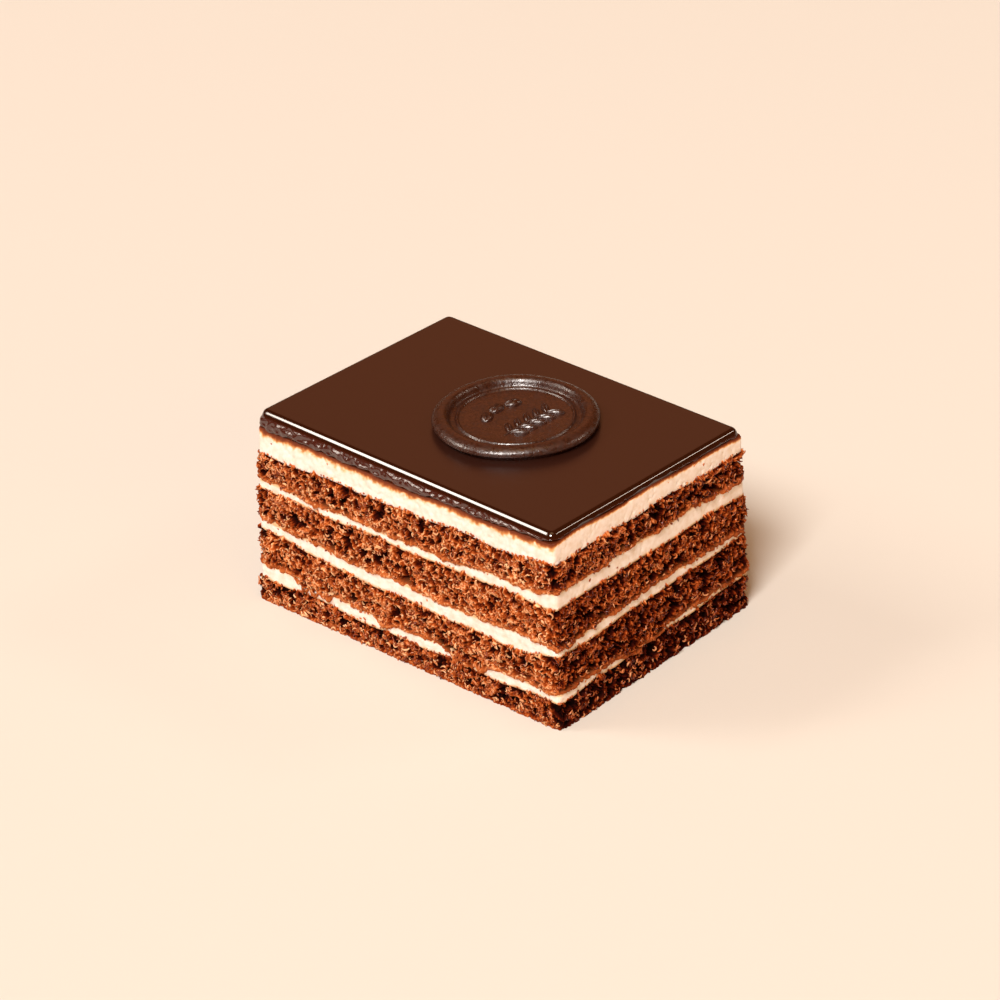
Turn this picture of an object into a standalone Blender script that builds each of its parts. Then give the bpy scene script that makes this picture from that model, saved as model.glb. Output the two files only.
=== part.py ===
# Opera cake slice: four cocoa sponges and four creams, cut straight down on all sides,
# under a poured chocolate glaze that carries a moulded chocolate seal.
# +Z is up, X runs along the long cut side, Y along the short one, and the slice stands on z = 0.
# Sizes are given in millimetres and turned into metres by MM.

import math

import bmesh
import bpy
from mathutils import Vector, noise

MM = 0.001

# Driving sizes of the slice
TOP_LENGTH = 80.0
TOP_WIDTH = 55.4
SLICE_HEIGHT = 43.4
SEAM_GAP = 0.3

# How far the foot stands out from the top at each corner, because the soft slice splays.
# Corners go round: front left, front right, back right, back left.
FOOT_SPLAY = ((0.1, -2.7), (1.1, -0.4), (-1.0, 2.9), (-0.6, 2.3))
PLAN_SHIFT = (-0.3, -0.1)

# Height of each seam at the same four corners, from the floor up, and how far it sags
# halfway along the front
SEAMS = (
    (5.2, 5.7, 7.6, 6.9),
    (8.7, 7.7, 8.6, 8.6),
    (16.2, 16.0, 17.6, 17.4),
    (18.5, 17.8, 18.9, 18.9),
    (25.8, 27.2, 27.8, 26.3),
    (27.7, 29.5, 30.3, 28.4),
    (33.8, 36.3, 37.1, 34.8),
    (39.7, 41.2, 41.1, 39.8),
)
FRONT_SAG = (0.5, 0.8, 1.9, 0.6, 0.5, 0.7, 0.2, 0.5)
LONG_WAVE = 0.175
CROSS_WAVE = 0.105
OWN_WAVE = 0.16
WAVE_LENGTHS = (31.0, 26.0, 19.0)
WAVE_TURNS = (1.7, 2.3, 1.9)

# Cut faces
BODY_CORNER_RADIUS = 1.4
SPONGE_STANDS_OUT = 1.0
CREAM_STANDS_OUT = 0.8
CRAG_DEPTH = 0.85
CRAG_SIZE = 2.6
LUMP_SHARES = (0.75, 0.45)
LUMP_SHIFT = Vector((7.0, 3.0, 5.0))
DEEPEST_PIT = 0.8
CREAM_RIPPLE = 0.18
CREAM_RIPPLE_SIZE = 5.0
RIPPLE_SHIFT = Vector((11.0, 2.0, 4.0))
CAP_RING_SHARE = 0.93
FOOT_ROUNDING = 0.5
SPONGE_STEPS = (36, 25)
CREAM_STEPS = (20, 14)
SPONGE_ROWS = 4
BOTTOM_SPONGE_ROWS = 3
CREAM_ROWS = 2
BODY_ARC_STEPS = 2

# Glaze
GLAZE_CORNER_RADIUS = 2.2
GLAZE_STANDS_OUT = 0.45
GLAZE_EDGE_RADIUS = 1.1
GLAZE_EDGE_STEPS = 4
GLAZE_WRINKLE = 0.3
GLAZE_WRINKLE_SIZE = 3.0
GLAZE_STEPS = (28, 20)
GLAZE_ARC_STEPS = 5

# Seal: a disc with a rounded rim, a fine ring inside it and a sunk field.
# The rim's section runs from the edge of the foot up and in, as inset and height.
SEAL_CENTRE = (4.4, 0.8)
SEAL_RADIUS = 17.4
SEAL_FIELD_HEIGHT = 1.4
SEAL_RIM_SECTION = (
    (0.5, 0.0),
    (0.0, 0.7),
    (0.25, 1.5),
    (1.2, 2.2),
    (2.2, 2.3),
    (3.5, 2.05),
    (4.3, SEAL_FIELD_HEIGHT),
)
SEAL_RING_RADIUS = 11.9
SEAL_RING_HALF_WIDTH = 0.45
SEAL_RING_RISE = 0.3
SEAL_SEGMENTS = 48
SEAL_UNEVENNESS = 0.012
SEAL_LOBES = ((3, 0.6, 1.0), (5, 2.0, 0.6))
SEAL_EDGE_POWER = 6

# Emblem on the field: a bowed row of three beans beside a leafy sprig
BEAN_SIZE = (1.7, 1.25, 0.5)
BEAN_PITCH = 3.9
BEAN_ROW = -4.3
BEAN_BOW = 1.0
BEAN_TURN = math.radians(28.0)
BEAN_SIDES = 12
SPRIG_ROW = 3.6
SPRIG_LENGTH = 15.0
SPRIG_LEAVES = 5
STEM_SIZE = (0.35, SPRIG_LENGTH / 2.0, 0.4)
STEM_SIDES = 8
LEAF_SIZE = (1.9, 0.75, 0.45)
LEAF_LEAN = math.radians(52.0)
LEAF_FOOT = (0.75, 0.5)
LEAF_SIDES = 10
LUMP_RINGS = 6
EMBLEM_SINK = 0.12

SMOOTH_ANGLE = math.radians(35.0)

SPONGE_COLOUR = (0.36, 0.13, 0.045)
CREAM_COLOUR = (0.93, 0.80, 0.62)
GLAZE_COLOUR = (0.065, 0.020, 0.010)
SEAL_COLOUR = (0.085, 0.030, 0.017)


def clear_scene():
    for old in list(bpy.data.objects):
        bpy.data.objects.remove(old, do_unlink=True)


def make_material(name, colour, roughness):
    material = bpy.data.materials.new(name)
    material.use_nodes = True
    shader = material.node_tree.nodes["Principled BSDF"]
    shader.inputs["Base Color"].default_value = (*colour, 1.0)
    shader.inputs["Roughness"].default_value = roughness
    shader.inputs["Metallic"].default_value = 0.0
    return material


def plan_share(x, y):
    """How far along and how far back a point in millimetres lies, each from 0 to 1."""
    along = min(max(x / TOP_LENGTH + 0.5, 0.0), 1.0)
    back = min(max(y / TOP_WIDTH + 0.5, 0.0), 1.0)
    return along, back


def between_corners(values, x, y):
    """Blends four corner values over the plan."""
    s, t = plan_share(x, y)
    front_left, front_right, back_right, back_left = values
    front = front_left + (front_right - front_left) * s
    back = back_left + (back_right - back_left) * s
    return front + (back - front) * t


def seam_height(index, x, y):
    """Height of a seam: a tilted sheet with slow waves, most of them shared by a cream's two seams."""
    cream = index // 2
    along, back = plan_share(x, y)
    phases = (
        2.0 * math.pi * x / WAVE_LENGTHS[0] + WAVE_TURNS[0] * cream,
        2.0 * math.pi * y / WAVE_LENGTHS[1] + WAVE_TURNS[1] * cream,
        2.0 * math.pi * (x + y) / WAVE_LENGTHS[2] + WAVE_TURNS[2] * index,
    )
    heights = zip((LONG_WAVE, CROSS_WAVE, OWN_WAVE), phases)
    waves = sum(height * math.sin(phase) for height, phase in heights)
    sag = FRONT_SAG[index] * math.sin(math.pi * along) * (1.0 - back)
    return between_corners(SEAMS[index], x, y) + waves - sag


def leaned(x, y, z):
    """A plan point of the top, moved out with the splay of the foot, as a place in metres."""
    depth = 1.0 - z / SLICE_HEIGHT
    out_x = between_corners([corner[0] for corner in FOOT_SPLAY], x, y)
    out_y = between_corners([corner[1] for corner in FOOT_SPLAY], x, y)
    px = x + out_x * depth + PLAN_SHIFT[0]
    py = y + out_y * depth + PLAN_SHIFT[1]
    return Vector((px * MM, py * MM, z * MM))


def plan_outline(stand_out, corner_radius, side_steps, arc_steps):
    """Points and outward directions round the plan, anticlockwise from the front left corner."""
    half_x = TOP_LENGTH / 2.0 + stand_out
    half_y = TOP_WIDTH / 2.0 + stand_out
    corners = ((-1, -1), (1, -1), (1, 1), (-1, 1))
    points = []
    for number, (side_x, side_y) in enumerate(corners):
        centre = Vector((side_x * (half_x - corner_radius), side_y * (half_y - corner_radius)))
        first_angle = math.pi * (1.0 + 0.5 * number)
        for step in range(arc_steps + 1):
            angle = first_angle + 0.5 * math.pi * step / arc_steps
            out = Vector((math.cos(angle), math.sin(angle)))
            points.append((centre + out * corner_radius, out))
        next_x, next_y = corners[(number + 1) % 4]
        start = points[-1][0]
        next_centre = Vector((next_x * (half_x - corner_radius), next_y * (half_y - corner_radius)))
        end = next_centre + out * corner_radius
        steps = side_steps[number % 2]
        for step in range(1, steps):
            points.append((start.lerp(end, step / steps), out))
    return points


def add_loop(mesh, places):
    return [mesh.verts.new(place) for place in places]


def join_loops(mesh, lower, upper):
    for i in range(len(lower)):
        j = (i + 1) % len(lower)
        mesh.faces.new((lower[i], lower[j], upper[j], upper[i]))


def cap_loop(mesh, loop, outline, height, facing_up):
    """Closes a slab's end with one inner ring and a fan, both following the seam's height."""
    inner_points = [point * CAP_RING_SHARE for point, out in outline]
    ring = add_loop(mesh, [leaned(p.x, p.y, height(p.x, p.y)) for p in inner_points])
    centre = mesh.verts.new(leaned(0.0, 0.0, height(0.0, 0.0)))
    for i in range(len(loop)):
        j = (i + 1) % len(loop)
        if facing_up:
            mesh.faces.new((loop[i], loop[j], ring[j], ring[i]))
            mesh.faces.new((ring[i], ring[j], centre))
        else:
            mesh.faces.new((loop[j], loop[i], ring[i], ring[j]))
            mesh.faces.new((ring[j], ring[i], centre))


def finish_object(name, mesh, material):
    bmesh.ops.triangulate(mesh, faces=mesh.faces[:])
    data = bpy.data.meshes.new(name)
    mesh.to_mesh(data)
    mesh.free()
    data.shade_smooth()
    data.set_sharp_from_angle(angle=SMOOTH_ANGLE)
    data.materials.append(material)
    made = bpy.data.objects.new(name, data)
    bpy.context.scene.collection.objects.link(made)
    return made


def crags(place):
    """Torn crumb: lumps and pits a few millimetres across, none so deep that a corner folds over."""
    at = Vector(place) / CRAG_SIZE
    lumps = LUMP_SHARES[0] * noise.noise(at) + LUMP_SHARES[1] * noise.noise(at * 2.1 + LUMP_SHIFT)
    return CRAG_DEPTH * max(lumps, -DEEPEST_PIT)


def ripples(place):
    """Cream smeared by the knife: shallow, slow waves."""
    return CREAM_RIPPLE * noise.noise(Vector(place) / CREAM_RIPPLE_SIZE + RIPPLE_SHIFT)


def slab_layer(name, material, outline, low_height, high_height, rows, relief, foot_rounding):
    """A cut layer: side rows between two seams, with relief on the cut faces."""
    mesh = bmesh.new()
    loops = []
    for row in range(rows + 1):
        share = row / rows
        places = []
        for point, out in outline:
            low = low_height(point.x, point.y)
            high = high_height(point.x, point.y)
            z = low + (high - low) * share
            push = relief((point.x, point.y, z))
            if row == 0:
                push -= foot_rounding
            moved = point + out * push
            places.append(leaned(moved.x, moved.y, z))
        loops.append(add_loop(mesh, places))
    for lower, upper in zip(loops, loops[1:]):
        join_loops(mesh, lower, upper)
    cap_loop(mesh, loops[0], outline, low_height, facing_up=False)
    cap_loop(mesh, loops[-1], outline, high_height, facing_up=True)
    return finish_object(name, mesh, material)


def seam_side(index, shift):
    return lambda x, y: seam_height(index, x, y) + shift


def floor_height(x, y):
    return 0.0


def build_sponges(material):
    outline = plan_outline(SPONGE_STANDS_OUT, BODY_CORNER_RADIUS, SPONGE_STEPS, BODY_ARC_STEPS)
    for number in range(1, 5):
        bottom = number == 1
        low = floor_height if bottom else seam_side(2 * number - 3, SEAM_GAP / 2.0)
        high = seam_side(2 * number - 2, -SEAM_GAP / 2.0)
        rows = BOTTOM_SPONGE_ROWS if bottom else SPONGE_ROWS
        rounding = FOOT_ROUNDING if bottom else 0.0
        slab_layer(f"sponge_{number}", material, outline, low, high, rows, crags, rounding)


def build_creams(material):
    outline = plan_outline(CREAM_STANDS_OUT, BODY_CORNER_RADIUS, CREAM_STEPS, BODY_ARC_STEPS)
    for number in range(1, 5):
        low = seam_side(2 * number - 2, SEAM_GAP / 2.0)
        high = seam_side(2 * number - 1, -SEAM_GAP / 2.0)
        slab_layer(f"cream_{number}", material, outline, low, high, CREAM_ROWS, ripples, 0.0)


def build_glaze(material):
    """Poured chocolate: a plate with a rounded top edge and a slightly wrinkled cut edge."""
    outline = plan_outline(GLAZE_STANDS_OUT, GLAZE_CORNER_RADIUS, GLAZE_STEPS, GLAZE_ARC_STEPS)
    foot = seam_side(len(SEAMS) - 1, SEAM_GAP / 2.0)
    shoulder = SLICE_HEIGHT - GLAZE_EDGE_RADIUS
    mesh = bmesh.new()
    loops = []
    for share in (0.0, 0.5, 1.0):
        places = []
        for point, out in outline:
            low = foot(point.x, point.y)
            z = low + (shoulder - low) * share
            wrinkle = noise.noise(Vector((point.x, point.y, 2.0 * z)) / GLAZE_WRINKLE_SIZE)
            moved = point + out * GLAZE_WRINKLE * wrinkle * (1.0 - share)
            places.append(leaned(moved.x, moved.y, z))
        loops.append(add_loop(mesh, places))
    for step in range(1, GLAZE_EDGE_STEPS + 1):
        angle = 0.5 * math.pi * step / GLAZE_EDGE_STEPS
        inward = GLAZE_EDGE_RADIUS * (1.0 - math.cos(angle))
        z = shoulder + GLAZE_EDGE_RADIUS * math.sin(angle)
        moved = [point - out * inward for point, out in outline]
        loops.append(add_loop(mesh, [leaned(p.x, p.y, z) for p in moved]))
    for lower, upper in zip(loops, loops[1:]):
        join_loops(mesh, lower, upper)
    cap_loop(mesh, loops[0], outline, foot, facing_up=False)
    mesh.faces.new(loops[-1])
    return finish_object("glaze", mesh, material)


def seal_profile():
    """Radius and height of the seal's section, from the edge of its foot in to the middle."""
    rim = [(SEAL_RADIUS - inset, height) for inset, height in SEAL_RIM_SECTION]
    ring = [
        (SEAL_RING_RADIUS + SEAL_RING_HALF_WIDTH, SEAL_FIELD_HEIGHT),
        (SEAL_RING_RADIUS, SEAL_FIELD_HEIGHT + SEAL_RING_RISE),
        (SEAL_RING_RADIUS - SEAL_RING_HALF_WIDTH, SEAL_FIELD_HEIGHT),
    ]
    return rim + ring


def seal_disc(material):
    """The seal's turned body, a little out of round like a pressed disc."""
    mesh = bmesh.new()
    loops = []
    for radius, height in seal_profile():
        places = []
        for i in range(SEAL_SEGMENTS):
            angle = 2.0 * math.pi * i / SEAL_SEGMENTS
            lobes = sum(size * math.sin(count * angle + turn) for count, turn, size in SEAL_LOBES)
            edge_share = (radius / SEAL_RADIUS) ** SEAL_EDGE_POWER
            r = radius * (1.0 + SEAL_UNEVENNESS * lobes * edge_share)
            places.append(Vector((r * math.cos(angle), r * math.sin(angle), height)) * MM)
        loops.append(add_loop(mesh, places))
    for lower, upper in zip(loops, loops[1:]):
        join_loops(mesh, lower, upper)
    mesh.faces.new(reversed(loops[0]))
    mesh.faces.new(loops[-1])
    return finish_object("seal", mesh, material)


def emblem_lump(name, material, size, place, turn, sides):
    """A low lens-shaped lump, half sunk in the field."""
    mesh = bmesh.new()
    bmesh.ops.create_uvsphere(mesh, u_segments=sides, v_segments=LUMP_RINGS, radius=1.0)
    for vert in mesh.verts:
        vert.co = Vector((vert.co.x * size[0], vert.co.y * size[1], vert.co.z * size[2])) * MM
    lump = finish_object(name, mesh, material)
    lump.rotation_euler.z = turn
    height = SEAL_FIELD_HEIGHT - EMBLEM_SINK
    lump.location = Vector((place[0], place[1], height)) * MM
    return lump


def emblem_lumps(material):
    lumps = []
    for number in (-1, 0, 1):
        place = (BEAN_ROW - BEAN_BOW * (1 - abs(number)), BEAN_PITCH * number)
        turn = math.pi / 2.0 - BEAN_TURN * number
        lumps.append(emblem_lump(f"bean{number}", material, BEAN_SIZE, place, turn, BEAN_SIDES))
    lumps.append(emblem_lump("stem", material, STEM_SIZE, (SPRIG_ROW, 0.0), 0.0, STEM_SIDES))
    leaf_pitch = SPRIG_LENGTH / (SPRIG_LEAVES + 0.5)
    for number in range(SPRIG_LEAVES):
        along = leaf_pitch * (number - (SPRIG_LEAVES - 1) / 2.0)
        for side in (-1, 1):
            lean = math.pi / 2.0 - side * LEAF_LEAN
            foot_x, foot_y = (LEAF_SIZE[0] * share for share in LEAF_FOOT)
            place = (SPRIG_ROW + side * foot_x, along + foot_y)
            lumps.append(emblem_lump(f"leaf{number}{side}", material, LEAF_SIZE, place, lean, LEAF_SIDES))
    return lumps


def build_seal(material):
    seal = seal_disc(material)
    lumps = bpy.data.collections.new("emblem")
    bpy.context.scene.collection.children.link(lumps)
    for lump in emblem_lumps(material):
        bpy.context.scene.collection.objects.unlink(lump)
        lumps.objects.link(lump)
    union = seal.modifiers.new("emblem", "BOOLEAN")
    union.operation = "UNION"
    union.operand_type = "COLLECTION"
    union.collection = lumps
    union.solver = "EXACT"
    bpy.context.view_layer.update()
    fused = bpy.data.meshes.new_from_object(seal.evaluated_get(bpy.context.evaluated_depsgraph_get()))
    seal.modifiers.clear()
    seal.data = fused
    for lump in list(lumps.objects):
        bpy.data.objects.remove(lump, do_unlink=True)
    bpy.data.collections.remove(lumps)
    place = leaned(SEAL_CENTRE[0], SEAL_CENTRE[1], SLICE_HEIGHT)
    seal.location = place + Vector((0.0, 0.0, SEAM_GAP * MM))
    return seal


def main():
    clear_scene()
    build_sponges(make_material("sponge", SPONGE_COLOUR, 0.8))
    build_creams(make_material("cream", CREAM_COLOUR, 0.5))
    build_glaze(make_material("glaze", GLAZE_COLOUR, 0.15))
    build_seal(make_material("seal", SEAL_COLOUR, 0.35))


main()
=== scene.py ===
# Opera cake slice: torn cocoa sponges, cream fillings, poured chocolate glaze and a chocolate seal.
# Sizes are in millimetres and become metres when a mesh is made. X runs along the long cut face.
import bpy
import bmesh
import math
import random
import numpy as np
from mathutils import Euler, Matrix, Quaternion, Vector, noise


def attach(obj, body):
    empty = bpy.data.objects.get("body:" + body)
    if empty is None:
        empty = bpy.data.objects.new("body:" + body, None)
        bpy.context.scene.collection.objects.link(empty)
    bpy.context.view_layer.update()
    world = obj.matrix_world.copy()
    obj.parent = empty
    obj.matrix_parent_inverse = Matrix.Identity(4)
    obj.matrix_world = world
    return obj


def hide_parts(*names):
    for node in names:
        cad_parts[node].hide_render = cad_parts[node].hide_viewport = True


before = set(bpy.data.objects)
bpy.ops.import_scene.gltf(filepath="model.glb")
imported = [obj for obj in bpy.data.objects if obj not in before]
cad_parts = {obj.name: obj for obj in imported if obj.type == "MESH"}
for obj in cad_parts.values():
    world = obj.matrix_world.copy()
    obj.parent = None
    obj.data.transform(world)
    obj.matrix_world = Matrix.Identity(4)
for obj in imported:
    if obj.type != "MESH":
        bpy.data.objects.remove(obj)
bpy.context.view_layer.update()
mm = 0.001
noise.seed_set(1)           # Blender's vector noise is a different one in each run unless it has a seed
print("frame loaded:", len(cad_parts), "nodes")


# small helpers

mixFirst, mixSecond, mixResult = 6, 7, 2        # a Mix node's colour sockets, found by place, not by name


def hexToLinear(code):
    parts = [int(code[i:i + 2], 16) / 255 for i in (0, 2, 4)]
    return tuple(c / 12.92 if c <= 0.04045 else ((c + 0.055) / 1.055) ** 2.4 for c in parts) + (1.0,)


def ease(low, high, value):
    # 0 below low, 1 above high and a smooth rise between them; low may be the larger of the two
    share = min(max((value - low) / (high - low), 0.0), 1.0)
    return share * share * (3 - 2 * share)


def newMaterial(name):
    material = bpy.data.materials.new(name)
    material.use_nodes = True
    return material, material.node_tree.nodes["Principled BSDF"]


def addNode(material, kind, settings=None, values=None, links=None):
    # settings are the node's own options, values its fixed inputs and links the outputs that feed the others
    node = material.node_tree.nodes.new(kind)
    for key, value in (settings or {}).items():
        setattr(node, key, value)
    for key, value in (values or {}).items():
        node.inputs[key].default_value = value
    for key, output in (links or {}).items():
        material.node_tree.links.new(output, node.inputs[key])
    return node


def fillRamp(node, *stops):
    # stops are pairs of a place and a hex colour, from low to high
    points = node.color_ramp.elements
    while len(points) < len(stops):
        points.new(0.5)
    for point, (place, code) in zip(points, stops):
        point.position = place
        point.color = hexToLinear(code)
    return node.outputs["Color"]


def linkPiece(mesh, name, material, replaced=None):
    mesh.name = name
    mesh.polygons.foreach_set("use_smooth", [True] * len(mesh.polygons))
    mesh.materials.append(material)
    piece = bpy.data.objects.new(name, mesh)
    bpy.context.scene.collection.objects.link(piece)
    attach(piece, "root")
    if replaced:
        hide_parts(replaced)
    mesh.calc_loop_triangles()
    print(name, "made,", len(mesh.loop_triangles), "triangles")


def meshFrom(bm):
    bmesh.ops.recalc_face_normals(bm, faces=bm.faces)
    mesh = bpy.data.meshes.new("mesh")
    bm.to_mesh(mesh)
    bm.free()
    return mesh


# camera, first so that every other piece can be judged against it
viewSettings = dict(
    aim=(-7.59, 7.32, 18.36),   # mm, the point in the middle of the picture
    distance=753.0,             # mm
    azimuth=43.96,              # degrees, turned from +Y towards -X
    elevation=29.57,            # degrees above the table
    roll=-2.21,                 # degrees
    lens=130.0, sensor=36.0,    # mm
    clipStart=10.0,             # mm, nothing nearer is drawn
)


def addCamera(settings):
    azimuth = math.radians(settings["azimuth"])
    elevation = math.radians(settings["elevation"])
    level = math.cos(elevation)
    forward = Vector((-math.sin(azimuth) * level, math.cos(azimuth) * level, -math.sin(elevation)))
    data = bpy.data.cameras.new("camera")
    data.lens = settings["lens"]
    data.sensor_width = settings["sensor"]
    data.clip_start = settings["clipStart"] * mm
    camera = bpy.data.objects.new("camera", data)
    camera.location = (Vector(settings["aim"]) - forward * settings["distance"]) * mm
    camera.rotation_mode = "QUATERNION"
    roll = Quaternion((0, 0, 1), math.radians(settings["roll"]))
    camera.rotation_quaternion = forward.to_track_quat("-Z", "Y") @ roll
    bpy.context.scene.collection.objects.link(camera)
    bpy.context.scene.camera = camera


addCamera(viewSettings)


# light, all from 8 m: the main softbox stands at the front, a little to the right, and a dimmer one at the
# left throws the shadow to the right; a strip at the left draws the crisp line along the glaze's front edge
lightSettings = dict(
    mainSoftbox=dict(
        towards=(0.30, -0.62, 0.72), along=(0, 0, 1), size=(2600, 2300), power=790, tint="FFF9F3"),
    leftSoftbox=dict(
        towards=(-0.62, -0.55, 0.56), along=(0, 0, 1), size=(4400, 3600), power=84, tint="FFEBD8"),
    edgeStrip=dict(
        towards=(-0.619, -0.487, 0.616), along=(0, 0.785, 0.62), size=(900, 4000), power=150, tint="FFF6EA"),
    overheadSoftbox=dict(
        towards=(0.10, -0.10, 1.00), along=(0, 1, 0), size=(4800, 4800), power=76, tint="FFD29C"),
    # warms the right face, and is kept out of reflections so that no yellow patch shows in the chocolate
    rightFill=dict(
        towards=(0.90, -0.30, 0.32), along=(0, 0, 1), size=(7200, 4600), power=138, tint="FFD46E",
        mirrored=False),
    # low behind at the left, for the sheen on the flat chocolate
    sheenCard=dict(
        towards=(-0.604, 0.626, 0.494), along=(0, 0, 1), size=(4200, 3400), power=17, tint="FFA074"),
    # behind at the right, for the line along the glaze's right edge
    rimStrip=dict(
        towards=(0.495, 0.645, 0.58), along=(0, 0, 1), size=(2800, 440), power=52, tint="FFEBD8"),
)
lightDistance = 8000            # mm


def addSoftbox(name, settings):
    data = bpy.data.lights.new(name, "AREA")
    data.shape = "RECTANGLE"
    data.size = settings["size"][0] * mm
    data.size_y = settings["size"][1] * mm
    data.energy = settings["power"]                 # watts
    data.color = hexToLinear(settings["tint"])[:3]
    lamp = bpy.data.objects.new(name, data)
    direction = Vector(settings["towards"]).normalized()
    side = Vector(settings["along"]).cross(direction).normalized()
    lamp.visible_glossy = settings.get("mirrored", True)
    lamp.location = direction * lightDistance * mm
    lamp.rotation_mode = "QUATERNION"
    lamp.rotation_quaternion = Matrix((side, direction.cross(side), direction)).transposed().to_quaternion()
    bpy.context.scene.collection.objects.link(lamp)


for lampName, lampSettings in lightSettings.items():
    addSoftbox(lampName, lampSettings)

worldSettings = dict(colour="B86A30", strength=0.35)            # warm light from the room


def addWorld(settings):
    world = bpy.data.worlds.new("studio")
    world.use_nodes = True
    background = world.node_tree.nodes["Background"]
    background.inputs["Color"].default_value = hexToLinear(settings["colour"])
    background.inputs["Strength"].default_value = settings["strength"]
    bpy.context.scene.world = world


addWorld(worldSettings)
bpy.context.scene.view_settings.view_transform = "Standard"     # keeps the pale floor and the browns true

floorSettings = dict(halfSize=4000, colour="DBD7D0", roughness=0.85, gloss=0.1)


def addFloor(settings):
    # matt backdrop paper, so no reflection of the slice
    material, shader = newMaterial("matt backdrop paper")
    shader.inputs["Base Color"].default_value = hexToLinear(settings["colour"])
    shader.inputs["Roughness"].default_value = settings["roughness"]
    shader.inputs["Specular IOR Level"].default_value = settings["gloss"]
    bm = bmesh.new()
    bmesh.ops.create_grid(bm, x_segments=1, y_segments=1, size=settings["halfSize"] * mm)
    mesh = bpy.data.meshes.new("floor")
    bm.to_mesh(mesh)
    bm.free()
    mesh.materials.append(material)
    floor = bpy.data.objects.new("floor", mesh)
    bpy.context.scene.collection.objects.link(floor)


addFloor(floorSettings)
print("camera, lights and floor ready")


# the slice's shape, in the same sizes as its solids, but with seams that also rise a little at the right
sliceShape = dict(
    length=80.0, width=55.4, height=43.4,
    # how far the foot stands out at each corner: front left, front right, back right, back left
    footSplay=((0.1, -2.7), (1.1, -0.4), (-1.0, 2.9), (-0.6, 2.3)),
    shift=(-0.3, -0.1),
    # heights of the creams' lower and upper seams at the same corners, from the lowest cream up
    seams=(
        (5.2, 5.7, 7.6, 6.9), (8.7, 7.7, 8.6, 8.6),
        (16.2, 16.0, 17.6, 17.4), (18.5, 17.8, 18.9, 18.9),
        (25.8, 27.2, 27.8, 26.3), (27.7, 29.5, 30.3, 28.4),
        (33.8, 36.3, 37.1, 34.8), (39.7, 41.2, 41.1, 39.8),
    ),
    frontSag=(0.5, 0.8, 1.9, 0.6, 0.5, 0.7, 0.2, 0.5),          # halfway along the front
    # how much higher each seam runs on the right face, halfway along that face, and at the front's right end
    rightRise=(0.0, 0.0, 0.1, 0.2, -0.1, 1.1, 0.45, 0.4),
    rightSwell=(0.0, 0.0, 0.1, 0.9, 0.0, 0.3, 0.2, 0.2),
    endRise=(0.0, 0.3, -1.2, 0.5, -0.1, 0.3, 0.0, 0.2),
    rightZone=(0.9, 1.0), endZone=(0.68, 0.85),                 # where these set in, as shares of the length
    # height, length and turn of the waves that a cream's two seams share, and of each seam's own wave
    longWave=(0.175, 31.0, 1.7), crossWave=(0.105, 26.0, 2.3), ownWave=(0.16, 19.0, 1.9),
)
seamGap = 0.15                  # mm from a seam to the solids above and below it


def planShares(x, y):
    # how far along the front and how far back a plan point lies, from 0 to 1
    along = min(max(x / sliceShape["length"] + 0.5, 0.0), 1.0)
    back = min(max(y / sliceShape["width"] + 0.5, 0.0), 1.0)
    return along, back


def betweenCorners(values, x, y):
    along, back = planShares(x, y)
    frontLeft, frontRight, backRight, backLeft = values
    front = frontLeft + (frontRight - frontLeft) * along
    return front + (backLeft + (backRight - backLeft) * along - front) * back


def waveAt(run, wave, number):
    high, length, turn = wave
    return high * math.sin(2 * math.pi * run / length + turn * number)


def seamHeight(index, x, y):
    s = sliceShape
    cream = index // 2
    waves = waveAt(x, s["longWave"], cream) + waveAt(y, s["crossWave"], cream)
    waves += waveAt(x + y, s["ownWave"], index)
    along, back = planShares(x, y)
    sag = betweenCorners((1, 1, 0, 0), x, y) * s["frontSag"][index] * math.sin(math.pi * along)
    onRight = ease(*s["rightZone"], along)
    rise = onRight * (s["rightRise"][index] + s["rightSwell"][index] * math.sin(math.pi * back))
    rise += s["endRise"][index] * ease(*s["endZone"], along) * (1 - onRight) * (1 - back)
    return betweenCorners(s["seams"][index], x, y) + waves - sag + rise


def placeOnSlice(x, y, z):
    # a plan point moved out with the splay of the foot, in metres
    depth = 1 - z / sliceShape["height"]
    outX = betweenCorners([corner[0] for corner in sliceShape["footSplay"]], x, y)
    outY = betweenCorners([corner[1] for corner in sliceShape["footSplay"]], x, y)
    shiftX, shiftY = sliceShape["shift"]
    return Vector((x + outX * depth + shiftX, y + outY * depth + shiftY, z)) * mm


def outlineLength(standOut, radius):
    straightX = sliceShape["length"] + 2 * (standOut - radius)
    straightY = sliceShape["width"] + 2 * (standOut - radius)
    return 2 * (straightX + straightY) + 2 * math.pi * radius


def outlineAt(run, standOut, radius):
    # point and outward direction so far along the plan's edge, anticlockwise from the front left corner
    straights = [sliceShape[side] + 2 * (standOut - radius) for side in ("length", "width")]
    arc = 0.5 * math.pi * radius
    for side, (signX, signY) in enumerate(((-1, -1), (1, -1), (1, 1), (-1, 1))):
        centre = Vector((signX * straights[0] / 2, signY * straights[1] / 2))
        turn = math.pi * (1 + 0.5 * side) + min(run, arc) / radius
        out = Vector((math.cos(turn), math.sin(turn)))
        ahead = max(run - arc, 0.0)
        if ahead <= straights[side % 2] or side == 3:
            return centre + out * radius + Vector((-out.y, out.x)) * ahead, out
        run -= arc + straights[side % 2]


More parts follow.
